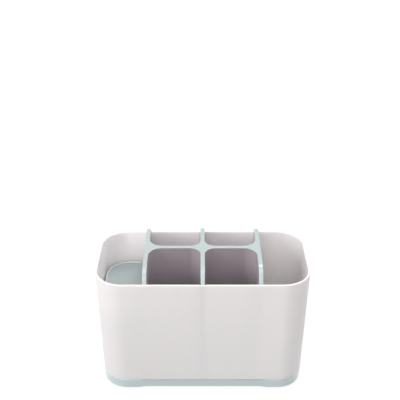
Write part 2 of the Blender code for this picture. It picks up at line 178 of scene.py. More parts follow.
# %% Draw the rim of the sleeve
sleeve_low, sleeve_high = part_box("outer_sleeve")
SLEEVE_WALL = 0.0018
SLEEVE_CORNER_RADIUS = 0.0235
SLEEVE_CORNER_STEPS = 20

sleeve = bmesh.new()
rim_face = rounded_face(
    sleeve, sleeve_high.x, sleeve_high.y, SLEEVE_CORNER_RADIUS, sleeve_high.z, SLEEVE_CORNER_STEPS
)
inset(sleeve, rim_face, SLEEVE_WALL)
bmesh.ops.delete(sleeve, geom=[rim_face], context="FACES_ONLY")
print("rim of the sleeve:", len(sleeve.faces), "faces")

# %% Cut the channels into the rim
CHANNEL_HALF_WIDTH = 0.0020
CHANNEL_DEPTH = 0.0006
CHANNEL_SLOPE = 0.0006
inner_y = sleeve_high.y - SLEEVE_WALL
channel_back = inner_y + CHANNEL_DEPTH
for side in (-1, 1):
    cut(sleeve, whole(sleeve), (side * CHANNEL_HALF_WIDTH, 0, 0), (1, 0, 0))
for side in (-1, 1):
    middle = [face for face in sleeve.faces if abs(face.calc_center_median().x) < CHANNEL_HALF_WIDTH]
    parts = unique(item for face in middle for item in (face, *face.edges, *face.verts))
    cut(sleeve, parts, (0, side * channel_back, 0), (0, 1, 0))
notches = [
    face for face in sleeve.faces
    if abs(face.calc_center_median().x) < CHANNEL_HALF_WIDTH
    and abs(face.calc_center_median().y) < channel_back
]
bmesh.ops.delete(sleeve, geom=notches, context="FACES")
sloped = [
    vert for vert in sleeve.verts
    if abs(abs(vert.co.x) - CHANNEL_HALF_WIDTH) < SAME_PLACE
    and abs(abs(vert.co.y) - inner_y) < SAME_PLACE
]
for vert in sloped:
    vert.co.x += math.copysign(CHANNEL_SLOPE, vert.co.x)
print("channels:", len(notches), "notches,", len(sloped), "corners drawn apart")

# %% Pull the rim down into a drafted tube
SLEEVE_DRAFT = 0.0022
sleeve_height = sleeve_high.z - sleeve_low.z
pulled = bmesh.ops.extrude_face_region(sleeve, geom=sleeve.faces[:])
bmesh.ops.translate(sleeve, verts=keep_verts(pulled["geom"]), vec=(0, 0, -sleeve_height))

def draw_in(vert, half_x, half_y, radius, amount):
    """Moves a point in, square to a rounded outline, so that its sides and corners keep their form."""
    core_x = max(-(half_x - radius), min(half_x - radius, vert.co.x))
    core_y = max(-(half_y - radius), min(half_y - radius, vert.co.y))
    out = Vector((vert.co.x - core_x, vert.co.y - core_y, 0.0)).normalized()
    vert.co -= out * amount

for vert in sleeve.verts:
    depth_share = (sleeve_high.z - vert.co.z) / sleeve_height
    draw_in(vert, sleeve_high.x, sleeve_high.y, SLEEVE_CORNER_RADIUS, SLEEVE_DRAFT * depth_share)
print("tube:", len(sleeve.faces), "faces")

# %% Round the lip and the foot of the sleeve
LIP_RADIUS = 0.00058
FOOT_RADIUS = 0.0004
FOLD_ANGLE = math.radians(60)
bmesh.ops.recalc_face_normals(sleeve, faces=sleeve.faces)
folds = [edge for edge in sleeve.edges if edge.calc_face_angle(0.0) > FOLD_ANGLE]
lip = [edge for edge in folds if all(vert.co.z > sleeve_high.z - CLOSE for vert in edge.verts)]
foot = [edge for edge in folds if all(vert.co.z < sleeve_low.z + CLOSE for vert in edge.verts)]
print("lip edges:", bevel_edges(sleeve, lip, LIP_RADIUS, steps=4))
print("foot edges:", bevel_edges(sleeve, foot, FOOT_RADIUS, steps=3))
sleeve_piece = finish_piece("sleeve_wall", sleeve, "sleeve", "outer_sleeve")

# %% [markdown]
# ## The painted light and shade of the sleeve
#
# Some light comes through the thin wall, and more is painted on: the inside of the sleeve and the sides of
# the lip are painted paler than its outside. The top of the lip looks straight up at the lamp. It could be
# left to turn white, but the photograph still shows a faint pink there, so shade is painted on it.

# %% Paint light and shade on the sleeve
def sleeve_light_share(face):
    """Painted light on the inside and the sides of the lip, less the more a face looks up."""
    on_lip = face.center.z > sleeve_high.z - LIP_RADIUS
    looks_in = face.normal.x * face.center.x + face.normal.y * face.center.y < 0
    return 1.0 - max(0.0, face.normal.z) if looks_in or on_lip else 0.0

def sleeve_shade_share(face, point):
    """Painted shade, more the more a face looks up, as the top of the lip does."""
    return max(0.0, face.normal.z)

mark_painted_light(sleeve_piece, sleeve_light_share)
mark_painted_shade(sleeve_piece, sleeve_shade_share)

# %% [markdown]
# ## The divider
#
# The real divider is one moulding: three walls from front to back and one web across the middle, with wide
# coves where they meet. The walls are thicker at the top, and their top corners are round shoulders. They
# follow the taper of the sleeve, and the middle wall reaches into its channels.
#
# It could be four slabs joined by Booleans. Here a quarter of its plan is a grid of three by two cells with
# one cell deleted. Mirrored twice and pulled down, it is one closed block, and bevels give it its rounds.

# %% Measure how far the divider's walls reach
SIDE_CLEARANCE = 0.001
KEY_CLEARANCE = 0.0003
insert_low, insert_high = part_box("divider_insert")

def sleeve_inner_half_y(height):
    """Half the depth inside the sleeve at a height."""
    drawn = SLEEVE_DRAFT * (sleeve_high.z - height) / sleeve_height
    return sleeve_high.y - drawn - SLEEVE_WALL

def side_reach(height):
    return sleeve_inner_half_y(height) - SIDE_CLEARANCE

def middle_reach(height):
    return sleeve_inner_half_y(height) + CHANNEL_DEPTH - KEY_CLEARANCE

for label, reach_at in (("side", side_reach), ("middle", middle_reach)):
    print(label, "walls reach", round(reach_at(insert_high.z) * 1000, 2), "mm at the top")

# %% Lay out a quarter of the plan and mirror it
WALL_X = 0.047
HALF_WALL_TOP = 0.00185
HALF_WEB_TOP = 0.00185
GRID_HALF = 1.5
columns = (0.0, HALF_WALL_TOP, WALL_X - HALF_WALL_TOP, WALL_X + HALF_WALL_TOP)

insert = bmesh.new()
bmesh.ops.create_grid(insert, x_segments=3, y_segments=2, size=GRID_HALF)
for vert in insert.verts:
    column = round(vert.co.x + GRID_HALF)
    row = round((vert.co.y + GRID_HALF) / GRID_HALF)
    reach = middle_reach(insert_high.z) if column < 2 else side_reach(insert_high.z)
    vert.co = (columns[column], (0.0, HALF_WEB_TOP, reach)[row], insert_high.z)
pocket = max(
    (face for face in insert.faces if columns[1] < face.calc_center_median().x < columns[2]),
    key=lambda face: face.calc_center_median().y,
)
bmesh.ops.delete(insert, geom=[pocket], context="FACES")
for axis in "XY":
    bmesh.ops.mirror(insert, geom=whole(insert), merge_dist=SAME_PLACE, axis=axis)
bmesh.ops.remove_doubles(insert, verts=insert.verts, dist=SAME_PLACE)
bmesh.ops.recalc_face_normals(insert, faces=insert.faces)
bmesh.ops.dissolve_limit(insert, angle_limit=math.radians(1), verts=insert.verts, edges=insert.edges)
print("plan of the divider:", len(insert.faces), "face with", len(insert.verts), "corners")

# %% Pull the plan down and thin the walls towards the foot
HALF_WALL_FOOT = 0.0012
HALF_WEB_FOOT = 0.00105
pulled = bmesh.ops.extrude_face_region(insert, geom=insert.faces[:])
lower = keep_verts(pulled["geom"])
for vert in lower:
    wall_x = WALL_X * round(vert.co.x / WALL_X)
    at_end = abs(vert.co.y) > 2 * HALF_WEB_TOP
    half_y = HALF_WEB_FOOT
    if at_end:
        half_y = middle_reach(insert_low.z) if wall_x == 0 else side_reach(insert_low.z)
    x = wall_x + math.copysign(HALF_WALL_FOOT, vert.co.x - wall_x)
    vert.co = (x, math.copysign(half_y, vert.co.y), insert_low.z)
bmesh.ops.recalc_face_normals(insert, faces=insert.faces)
print("pulled down:", len(lower), "corners")

# %% Round the shoulders, then the coves
SHOULDER_RADIUS = 0.014
SIDE_COVE_RADIUS = 0.011
MIDDLE_COVE_RADIUS = 0.009
UPRIGHT_LENGTH = 0.05
END_Y = 0.03  # a point further out than this is at the front or at the back

def spans(edge, axis):
    """How far an edge reaches along an axis."""
    return abs(edge.verts[0].co[axis] - edge.verts[1].co[axis])

shoulders = [
    edge for edge in insert.edges
    if all(vert.co.z > insert_high.z - CLOSE and abs(vert.co.y) > END_Y for vert in edge.verts)
    and spans(edge, 1) < SAME_PLACE
]
print("shoulders:", bevel_edges(insert, shoulders, SHOULDER_RADIUS, steps=14))
for low_x, high_x, radius in (
    (0.0, WALL_X / 2, MIDDLE_COVE_RADIUS), (WALL_X / 2, WALL_X, SIDE_COVE_RADIUS)
):
    coves = [
        edge for edge in insert.edges
        if spans(edge, 2) > UPRIGHT_LENGTH
        and all(abs(vert.co.y) < 2 * HALF_WEB_TOP for vert in edge.verts)
        and all(low_x < abs(vert.co.x) < high_x for vert in edge.verts)
    ]
    print("coves:", bevel_edges(insert, coves, radius, steps=12))

# %% [markdown]
# ## The shelf
#
# The shelf is moulded on the outside of the left wall. It is a thin plate with a low lip all round its top,
# and its free end follows the round inside of the sleeve.
#
# It could be a separate plate pushed into the wall, which would leave a seam. Here the wall's own face is cut
# into a strip, and that strip is extruded to the left, so that shelf and wall stay one skin. Two insets and a
# drop make the lip.

# %% Cut the strip and pull the shelf out of the wall
SHELF_UNDERSIDE = 0.0786
SHELF_LIP_TOP = 0.0817
SHELF_END_X = -0.08529
SHELF_HALF_Y = 0.0374
SHELF_CORNER_RADIUS = 0.0198
SHELF_EDGE_HEIGHT = 0.001
ALONG_AXIS = 0.9  # a normal with more than this along an axis looks along it

def cut_face(bm, face, place, direction):
    """Cuts one face by a plane and leaves the rest of the mesh alone."""
    cut(bm, [face, *face.edges, *face.verts], place, direction)

def strip_face():
    """The outer face of the left wall that lies nearest the root of the shelf."""
    outer = [
        face for face in insert.faces
        if face.normal.x < -ALONG_AXIS and face.calc_center_median().x < -WALL_X
    ]
    return min(outer, key=lambda face: (face.calc_center_median() - shelf_root).length)

shelf_root = Vector((-WALL_X, 0.0, (SHELF_UNDERSIDE + SHELF_LIP_TOP) / 2))
for height in (SHELF_UNDERSIDE, SHELF_LIP_TOP):
    cut_face(insert, strip_face(), (0, 0, height), (0, 0, 1))
for side in (-1, 1):
    cut_face(insert, strip_face(), (0, side * SHELF_HALF_Y, 0), (0, 1, 0))
strip = strip_face()
pulled = bmesh.ops.extrude_face_region(insert, geom=[strip])
bmesh.ops.delete(insert, geom=[strip], context="FACES_ONLY")
for vert in keep_verts(pulled["geom"]):
    vert.co.x = SHELF_END_X
bmesh.ops.recalc_face_normals(insert, faces=insert.faces)
corners = [
    edge for edge in insert.edges
    if all(vert.co.x < SHELF_END_X + CLOSE for vert in edge.verts) and spans(edge, 2) > SHELF_EDGE_HEIGHT
]
print("shelf corners:", bevel_edges(insert, corners, SHELF_CORNER_RADIUS, steps=14))

# %% Sink the top of the shelf inside its lip
LIP_WIDTH = 0.0013
LIP_SLOPE = 0.0005
LIP_RISE = 0.0009
RECESS_CORNER_RADIUS = 0.0022
LEFT_OF_WALL = 0.005
DEAD_LEVEL = 0.99
shelf_top = max(
    (
        face for face in insert.faces
        if face.normal.z > ALONG_AXIS and face.calc_center_median().x < -WALL_X - LEFT_OF_WALL
    ),
    key=lambda face: face.calc_area(),
)
inset(insert, shelf_top, LIP_WIDTH)
inset(insert, shelf_top, LIP_SLOPE)
bmesh.ops.translate(insert, verts=shelf_top.verts[:], vec=(0, 0, -LIP_RISE))
bmesh.ops.recalc_face_normals(insert, faces=insert.faces)
wall_side = max(vert.co.x for vert in shelf_top.verts)
recess_corners = [
    edge for vert in shelf_top.verts if vert.co.x > wall_side - NEARBY
    for edge in vert.link_edges if shelf_top not in edge.link_faces
]
flat_edges = unique(
    edge for corner in recess_corners for vert in corner.verts for edge in vert.link_edges
    if all(face.normal.z > DEAD_LEVEL and face is not shelf_top for face in edge.link_faces)
)
bmesh.ops.dissolve_edges(insert, edges=flat_edges, use_verts=False)
print("recess corners:", bevel_edges(insert, recess_corners, RECESS_CORNER_RADIUS, steps=5))

# %% Soften every sharp edge of the divider
ROOT_RADIUS = 0.0005
ROOT_BAND = 0.003
EDGE_RADIUS = 0.00055
EDGE_ANGLE = math.radians(40)
bmesh.ops.recalc_face_normals(insert, faces=insert.faces)
roots = [
    edge for edge in insert.edges
    if edge.calc_face_angle_signed(0.0) < -FOLD_ANGLE
    and all(-WALL_X - ROOT_BAND < vert.co.x < -WALL_X - NEARBY for vert in edge.verts)
]
print("root edges:", bevel_edges(insert, roots, ROOT_RADIUS, steps=3))
bmesh.ops.recalc_face_normals(insert, faces=insert.faces)
sharp = [edge for edge in insert.edges if edge.calc_face_angle_signed(0.0) > EDGE_ANGLE]
print("sharp edges:", bevel_edges(insert, sharp, EDGE_RADIUS, steps=3))
insert_piece = finish_piece("divider_walls", insert, "insert", "divider_insert")

# %% [markdown]
# ## The painted light and shade of the divider
#
# In the photograph a pale band follows the outline of each wall, where its rounded edge catches the light,
# and the shelf has one all round. These bands are painted light. The faces of the bands could be listed by
# hand, but a test of where a face lies and which way it looks finds them again when a size changes.
#
# Shade is painted on the walls, darkest at the foot. In a pocket it fades from the web out to the edge of
# each wall, because the cove and the open end get more light.

# %% Paint light on the rims of the divider
COVE_END = HALF_WEB_TOP + SIDE_COVE_RADIUS
SHELF_START_X = -WALL_X - HALF_WALL_TOP - NEARBY
SHELF_LIGHT_SHARE = 0.7
LIP_BAND = 0.8 * LIP_RISE
MOSTLY_SIDEWAYS = 0.75
MOSTLY_UPRIGHT = 0.3
NOT_LEVEL = 0.7

def on_divider_rim(face):
    """The narrow faces round the outline of each wall, with their rounded edges."""
    sideways = abs(face.normal.x) > MOSTLY_SIDEWAYS
    along_wall = abs(face.center.y) > COVE_END or face.center.z > insert_high.z - EDGE_RADIUS
    flat_pocket = abs(face.center.y) < COVE_END and abs(face.normal.z) < MOSTLY_UPRIGHT
    return along_wall and not sideways and not flat_pocket

def divider_light_share(face):
    """Painted light: palest on the upright bands, and less on the shelf and where the shoulders turn to the
    top.
    """
    if face.center.x < SHELF_START_X:
        on_lip = face.center.z > SHELF_LIP_TOP - LIP_BAND
        on_side = abs(face.normal.z) < NOT_LEVEL
        return SHELF_LIGHT_SHARE if on_lip or on_side else 0.0
    return 1.0 - max(0.0, face.normal.z) if on_divider_rim(face) else 0.0

mark_painted_light(insert_piece, divider_light_share)

# %% Paint shade in the depths of the divider
TOP_SHADE_SHARE = 0.62
COVE_LIFT = 0.5
EDGE_LIFT = 0.42

def divider_shade_share(face, point):
    """Painted shade: darker towards the foot, and in a pocket less from the web to the edge of each wall."""
    if on_divider_rim(face):
        return 0.0
    down = (insert_high.z - point.z) / (insert_high.z - insert_low.z)
    share = TOP_SHADE_SHARE + (1 - TOP_SHADE_SHARE) * down
    in_pocket = abs(face.center.x) < WALL_X
    if in_pocket:
        across_cove = min(1.0, max(0.0, (abs(point.y) - HALF_WEB_TOP) / SIDE_COVE_RADIUS))
        turned = math.sqrt(1 - (1 - across_cove) ** 2)
        past_cove = min(1.0, max(0.0, (abs(point.y) - COVE_END) / (side_reach(point.z) - COVE_END)))
        share *= 1 - COVE_LIFT * turned - EDGE_LIFT * past_cove
    return share

mark_painted_shade(insert_piece, divider_shade_share)

# %% [markdown]
# ## The drip tray
#
# The real tray is one moulding. Its skirt carries on the taper of the sleeve, which stands on the narrow
# shoulder. Inside the shoulder come a groove, and a collar that goes up into the sleeve. At the front the
# collar is open, and at the back it has two notches.
#
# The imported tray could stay, but its rounds are coarse. Here one rounded face is inset three times, which
# lays out shoulder, groove, collar and dish as flat rings. Each ring is then raised or sunk by an extrusion,
# so the tray stays one closed skin. A layer on the points keeps where the dish's outline was, for its cove.

# %% Lay out the rings of the tray and pull the skirt down
tray_low, tray_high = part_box("base_tray")
SHOULDER_HEIGHT = 0.0098
SHOULDER_WIDTH = 0.0016
GROOVE_WIDTH = 0.0008
COLLAR_WALL = 0.0016
TRAY_CORNER_STEPS = 16
taper = SLEEVE_DRAFT / sleeve_height
shoulder_draw = taper * (sleeve_high.z - SHOULDER_HEIGHT)
foot_draw = taper * (SHOULDER_HEIGHT - tray_low.z)
outer_x = sleeve_high.x - shoulder_draw
outer_y = sleeve_high.y - shoulder_draw
outer_radius = SLEEVE_CORNER_RADIUS - shoulder_draw
core_x = outer_x - outer_radius
core_y = outer_y - outer_radius
collar_width = SHOULDER_WIDTH + GROOVE_WIDTH
dish_width = collar_width + COLLAR_WALL

tray = bmesh.new()
home = tray.verts.layers.float_vector.new("home")
dish_face = rounded_face(tray, outer_x, outer_y, outer_radius, SHOULDER_HEIGHT, TRAY_CORNER_STEPS)
for width in (SHOULDER_WIDTH, GROOVE_WIDTH, COLLAR_WALL):
    inset(tray, dish_face, width)
skirt = bmesh.ops.extrude_edge_only(tray, edges=[edge for edge in tray.edges if edge.is_boundary])
for vert in keep_verts(skirt["geom"]):
    draw_in(vert, outer_x, outer_y, outer_radius, foot_draw)
    vert.co.z = tray_low.z
print("rings and skirt:", len(tray.faces), "faces")

# %% Cut the rings for the mouth, the notches and the finger recess
MOUTH_HALF = 0.056
NOTCH_EDGES = (0.0335, 0.0445)
NOTCH_INNER_Y = 0.0366
RECESS_HALF = 0.050
collar_y = outer_y - collar_width - COLLAR_WALL / 2
skirt_y = outer_y - foot_draw / 2

def cut_where(test, place, direction):
    """Cuts the tray's faces that pass a test of their centre by a plane."""
    for face in [face for face in tray.faces if test(face.calc_center_median())]:
        cut_face(tray, face, place, direction)

def on_collar(centre, side):
    return abs(centre.y - side * collar_y) < CLOSE and abs(centre.z - SHOULDER_HEIGHT) < SAME_PLACE

def on_front_skirt(centre):
    return abs(centre.y + skirt_y) < NEARBY and centre.z < SHOULDER_HEIGHT - NEARBY

def in_notch(centre):
    return NOTCH_EDGES[0] < abs(centre.x) < NOTCH_EDGES[1] and centre.y > END_Y

for side in (-1, 1):
    cut_where(lambda centre: on_collar(centre, -1), (side * MOUTH_HALF, 0, 0), (1, 0, 0))
    for x in (RECESS_HALF, MOUTH_HALF):
        cut_where(on_front_skirt, (side * x, 0, 0), (1, 0, 0))
    for x in NOTCH_EDGES:
        cut_where(lambda centre: on_collar(centre, 1), (side * x, 0, 0), (1, 0, 0))
cut_where(lambda centre: in_notch(centre) and on_collar(centre, 1), (0, NOTCH_INNER_Y, 0), (0, 1, 0))
for vert in dish_face.verts:
    vert[home] = vert.co
print("after the cuts:", len(tray.faces), "faces, the dish with", len(dish_face.verts), "corners")

# %% Tell the rings apart by their distance from the outline
GROOVE, COLLAR, DISH = 1, 2, 3  # and 0 for the shoulder

def depth_inside(point):
    """How far a point lies inside the tray's outline at the shoulder."""
    beyond_x = abs(point.x) - core_x
    beyond_y = abs(point.y) - core_y
    if beyond_x > 0 and beyond_y > 0:
        return outer_radius - math.hypot(beyond_x, beyond_y)
    return min(outer_x - abs(point.x), outer_y - abs(point.y))

def ring_of(face):
    depth = depth_inside(face.calc_center_median())
    return sum(depth > limit for limit in (SHOULDER_WIDTH, collar_width, dish_width))

def in_mouth(face):
    centre = face.calc_center_median()
    return ring_of(face) == COLLAR and centre.y < -END_Y and abs(centre.x) < MOUTH_HALF

tray.normal_update()
level = [
    face for face in tray.faces
    if abs(face.normal.z) > ALONG_AXIS and abs(face.calc_center_median().z - SHOULDER_HEIGHT) < CLOSE
]
standing = [face for face in level if ring_of(face) == COLLAR and not in_mouth(face)]
sunk = [face for face in level if ring_of(face) in (GROOVE, DISH) or in_mouth(face)]
print("level faces:", len(level), "standing:", len(standing), "sunk:", len(sunk))

# %% Sink the groove and the mouth, and raise the collar
GROOVE_DEPTH = 0.0007
NOTCH_DEPTH = 0.0008
MOUTH_SLANT = 0.0012
collar_rise = tray_high.z - SHOULDER_HEIGHT

def push(bm, faces, rise):
    """Extrudes faces of a closed mesh up or down, and removes the faces that this leaves inside."""
    pulled = bmesh.ops.extrude_face_region(bm, geom=faces)["geom"]
    bmesh.ops.delete(bm, geom=[face for face in faces if face.is_valid], context="FACES")
    bmesh.ops.translate(bm, verts=keep_verts(pulled), vec=(0, 0, rise))
    return [item for item in pulled if isinstance(item, bmesh.types.BMFace)]

def is_full_height(face):
    """Whether a face on top of the collar lies outside the notches."""
    centre = face.calc_center_median()
    return not in_notch(centre) or centre.y < NOTCH_INNER_Y

sunk = push(tray, sunk, -GROOVE_DEPTH)
standing = push(tray, standing, collar_rise - NOTCH_DEPTH)
standing = push(tray, [face for face in standing if is_full_height(face)], NOTCH_DEPTH)
for vert in tray.verts:
    above = vert.co.z - SHOULDER_HEIGHT
    if above > NEARBY and vert.co.y < 0 and abs(abs(vert.co.x) - MOUTH_HALF) < CLOSE:
        vert.co.x += math.copysign(MOUTH_SLANT * above / collar_rise, vert.co.x)
print("collar raised:", len(standing), "faces on its top")

# %% [markdown]
# ## The dish
#
# A cove runs from the collar down to the flat floor of the dish. A bevel could round it, but with one width
# all round, and the real cove is wider at the two ends than at the front and back.
#
# Here the dish's face is pushed down in steps that follow a quarter circle. Then each point moves in from its
# home on the outline, by the cove's share at its height. The last cut across the middle is for the painted
# shade.

# %% Sink the dish in a wide cove
DISH_FLOOR_HEIGHT = 0.0028
COVE_TOP = 0.0133
END_COVE = 0.017
SIDE_COVE = 0.008
COVE_STEPS = 14
cove_depth = COVE_TOP - DISH_FLOOR_HEIGHT
dish_radius = outer_radius - dish_width

def cove_share(height):
    """How far in the cove has come at a height, from 0 at its top to 1 at the floor."""
    down = min(1.0, max(0.0, 1 - (height - DISH_FLOOR_HEIGHT) / cove_depth))
    return 1 - math.sqrt(1 - down * down)

def cove_place(start, height):
    """Where a point of the dish's outline gets to on the cove."""
    in_x = END_COVE * cove_share(height)
    in_y = SIDE_COVE * cove_share(height)
    arc = Vector((abs(start.x) - core_x, abs(start.y) - core_y))
    x, y = abs(start.x), abs(start.y)
    if arc.x > CUT_TOLERANCE and arc.y > CUT_TOLERANCE:
        arc.normalize()
        x = core_x + (dish_radius - in_x) * arc.x
        y = core_y + in_x - in_y + (dish_radius - in_x) * arc.y
    elif arc.x > CUT_TOLERANCE:
        x -= in_x
        y *= (core_y + in_x - in_y) / core_y
    else:
        y -= in_y
    return Vector((math.copysign(x, start.x), math.copysign(y, start.y), height))

dish_face = max(sunk, key=lambda face: face.calc_area())
start_height = SHOULDER_HEIGHT - GROOVE_DEPTH
start_angle = math.asin(1 - (start_height - DISH_FLOOR_HEIGHT) / cove_depth)
for step in range(1, COVE_STEPS + 1):
    angle = start_angle + (math.pi / 2 - start_angle) * step / COVE_STEPS
    height = DISH_FLOOR_HEIGHT + cove_depth * (1 - math.sin(angle))
    dish_face = push(tray, [dish_face], height - dish_face.calc_center_median().z)[0]
for vert in tray.verts:
    if vert[home].length > 0:
        vert.co = cove_place(vert[home], vert.co.z)
print("the dish's floor has", len(dish_face.verts), "corners")

# %% Cut the dish across its middle
def in_dish(centre):
    return depth_inside(centre) > dish_width and centre.z < start_height

cut_where(in_dish, (0, 0, 0), (0, 1, 0))
print("faces in the dish:", sum(in_dish(face.calc_center_median()) for face in tray.faces))

# %% [markdown]
# ## The rest of the tray
#
# A low bead round each end of the collar grips the sleeve. The skirt's front steps back for a finger.
# Underneath, a panel stands level with the skirt's foot, with a hollow round it and four sockets for feet.
#
# The bead could be a swept profile joined on. Here the collar's own wall is cut into bands, and the middle
# band moves out. The sockets are circles that the panel's face is filled round.

# %% Shape the bead and the finger recess
BEAD_HEIGHTS = (0.0108, 0.01116, 0.01164, 0.0120)
BEAD_PROUD = 0.0003
RECESS_DEPTH = 0.0012
SKIRT_BAND = 0.001
UPRIGHT_WALL = 0.1
collar_outline = (outer_x - collar_width, outer_y - collar_width, outer_radius - collar_width)

def on_collar_wall(face):
    """Whether a face stands on the outside of the collar, round one of its ends."""
    centre = face.calc_center_median()
    upright = abs(face.normal.z) < UPRIGHT_WALL and centre.z > SHOULDER_HEIGHT
    return upright and abs(centre.x) > core_x and abs(depth_inside(centre) - collar_width) < NEARBY

tray.normal_update()
for height in BEAD_HEIGHTS:
    for face in [face for face in tray.faces if on_collar_wall(face)]:
        cut_face(tray, face, (0, 0, height), (0, 0, 1))
proud = [
    vert for vert in tray.verts
    if any(abs(vert.co.z - height) < SAME_PLACE for height in BEAD_HEIGHTS[1:3])
    and abs(vert.co.x) > core_x + CLOSE
]
for vert in proud:
    draw_in(vert, *collar_outline, -BEAD_PROUD)
recessed = [
    vert for vert in tray.verts
    if vert.co.y < 0 and abs(vert.co.x) < RECESS_HALF + CLOSE
    and not vert[home].length and depth_inside(vert.co) < SKIRT_BAND
]
for vert in recessed:
    vert.co.y += RECESS_DEPTH
print("points of the bead:", len(proud), "and of the recess:", len(recessed))

# %% Hollow the underside
SKIRT_WALL = 0.0024
HOLLOW_HEIGHT = 0.0034
HOLLOW_WIDTH = 0.0074
END_HOLLOW_EXTRA = 0.004
open_edges = [edge for edge in tray.edges if edge.is_boundary]
panel = bmesh.ops.contextual_create(tray, geom=open_edges)["faces"][0]
inset(tray, panel, SKIRT_WALL)
panel = push(tray, [panel], HOLLOW_HEIGHT)[0]
inset(tray, panel, HOLLOW_WIDTH)
for vert in panel.verts:
    vert.co.z = tray_low.z
    if abs(vert.co.x) > MOUTH_HALF:
        vert.co.x -= math.copysign(END_HOLLOW_EXTRA, vert.co.x)
print("panel underneath:", len(panel.verts), "corners")

# %% Cut the sockets for the feet
SOCKET_DEPTH = 0.0009
SOCKET_CLEARANCE = 0.0003
SOCKET_STEPS = 48
feet = [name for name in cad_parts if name.startswith("foot_")]
fill_edges = panel.edges[:]
bmesh.ops.delete(tray, geom=[panel], context="FACES_ONLY")
sockets = []
for name in feet:
    foot_low, foot_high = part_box(name)
    radius = (foot_high.x - foot_low.x) / 2 + SOCKET_CLEARANCE
    circle = bmesh.ops.create_circle(tray, cap_ends=False, segments=SOCKET_STEPS, radius=radius)["verts"]
    middle = (foot_low + foot_high) / 2
    bmesh.ops.translate(tray, verts=circle, vec=(middle.x, middle.y, tray_low.z))
    sockets.append(unique(edge for vert in circle for edge in vert.link_edges))
    fill_edges += sockets[-1]
bmesh.ops.triangle_fill(tray, use_beauty=True, use_dissolve=False, edges=fill_edges, normal=(0, 0, -1))
for ring in sockets:
    pulled = bmesh.ops.extrude_edge_only(tray, edges=ring)["geom"]
    bmesh.ops.translate(tray, verts=keep_verts(pulled), vec=(0, 0, SOCKET_DEPTH))
    roof = [item for item in pulled if isinstance(item, bmesh.types.BMEdge)]
    bmesh.ops.contextual_create(tray, geom=roof)
print(len(sockets), "sockets, open edges:", sum(edge.is_boundary for edge in tray.edges))

# %% Round the tray's edges
COLLAR_EDGE_RADIUS = 0.00035
SHOULDER_EDGE_RADIUS = 0.00025
SKIRT_EDGE_RADIUS = 0.001
TAPER_ROOM = 0.0003  # the taper draws the skirt's foot in by less than this
bmesh.ops.recalc_face_normals(tray, faces=tray.faces)

def sharp_edges(low, high, deepest):
    """Sharp outer edges between two heights, and less far inside the outline than deepest."""
    return [
        edge for edge in tray.edges
        if edge.calc_face_angle_signed(0.0) > FOLD_ANGLE
        and all(low - CLOSE < vert.co.z < high + CLOSE for vert in edge.verts)
        and all(depth_inside(vert.co) < deepest for vert in edge.verts)
    ]

for label, low, high, deepest, radius, steps in (
    ("collar", tray_high.z - NOTCH_DEPTH, math.inf, math.inf, COLLAR_EDGE_RADIUS, 3),
    ("shoulder", SHOULDER_HEIGHT, SHOULDER_HEIGHT, RECESS_DEPTH + NEARBY, SHOULDER_EDGE_RADIUS, 3),
    ("skirt", tray_low.z, tray_low.z, RECESS_DEPTH + TAPER_ROOM, SKIRT_EDGE_RADIUS, 4),
):
    print(label, "edges:", bevel_edges(tray, sharp_edges(low, high, deepest), radius, steps))
tray_piece = finish_piece("tray_dish", tray, "tray", "base_tray")

# %% [markdown]
# ## The painted light and shade of the tray
#
# Light is painted on the top of the collar and the shoulder's edge as pale rims, on the whole shoulder at the
# front, and less on the skirt. Mauve shade is painted in the dish as its cove rises, and more at the back
# than at the front. Shadows could do a part of that, but lamps that cast them would change the other pieces
# too.

# %% Paint light on the rims of the tray
SKIRT_LIGHT_SHARE = 0.35
LEVEL_LOOK = 0.97
LOOKS_UP = 0.2
FRONT_MARGIN = 0.01

def tray_light_share(face):
    """Painted light on the top of the collar, the rounded edge of the shoulder and the whole shoulder at the
    front, and less on the skirt.
    """
    below_shoulder = face.center.z < SHOULDER_HEIGHT - SHOULDER_EDGE_RADIUS
    if below_shoulder and depth_inside(face.center) < SHOULDER_WIDTH:
        return SKIRT_LIGHT_SHARE
    on_top = face.center.z > tray_high.z - 2 * COLLAR_EDGE_RADIUS - NOTCH_DEPTH
    on_shoulder = abs(face.center.z - SHOULDER_HEIGHT) < SHOULDER_EDGE_RADIUS
    edge_or_front = face.normal.z < LEVEL_LOOK or face.center.y < -core_y - FRONT_MARGIN
    is_rim = on_top or on_shoulder and edge_or_front
    return 1.0 if is_rim and face.normal.z > LOOKS_UP else 0.0

mark_painted_light(tray_piece, tray_light_share)

# %% Paint shade in the dish
BACK_SHADE_SHARE = 0.4
FRONT_LOSS = 0.35
DISH_HALF_Y = 0.03

def tray_shade_share(face, point):
    """Painted shade by how far up the cove a point stands, more at the back of the dish and less at its
    front.
    """
    if not in_dish(face.center):
        return 0.0
    up_share = (point.z - DISH_FLOOR_HEIGHT) / (start_height - DISH_FLOOR_HEIGHT)
    share = math.sqrt(min(1.0, max(0.0, up_share)))
    to_back = max(-1.0, min(1.0, point.y / DISH_HALF_Y))
    if to_back > 0:
        return share + (1 - share) * BACK_SHADE_SHARE * to_back
    return share * (1 + FRONT_LOSS * to_back)

mark_painted_shade(tray_piece, tray_shade_share)

# %% [markdown]
# ## The skin of moulded plastic
#
# Moulded plastic is never one flat tone. Its skin has a fine grain from the mould, a slow drift in tone, and
# patches that fingers have polished. Painted textures could show them, but noise on Object coordinates needs
# no unwrapping and stays sharp at any distance.
#
# The effect is the same on every piece, so it is one node group with its own values in each material. It puts
# out only a colour, a roughness and a height. The shader and the Bump node stay in the material.

# %% Helpers for node trees
def new_group(name, inputs, outputs):
    """An empty shader node group with named sockets."""
    group = bpy.data.node_groups.new(name, "ShaderNodeTree")
    for label, kind, value in inputs:
        socket = group.interface.new_socket(name=label, in_out="INPUT", socket_type=f"NodeSocket{kind}")
        socket.default_value = value
    for label, kind in outputs:
        group.interface.new_socket(name=label, in_out="OUTPUT", socket_type=f"NodeSocket{kind}")
    return group, group.nodes.new("NodeGroupInput"), group.nodes.new("NodeGroupOutput")

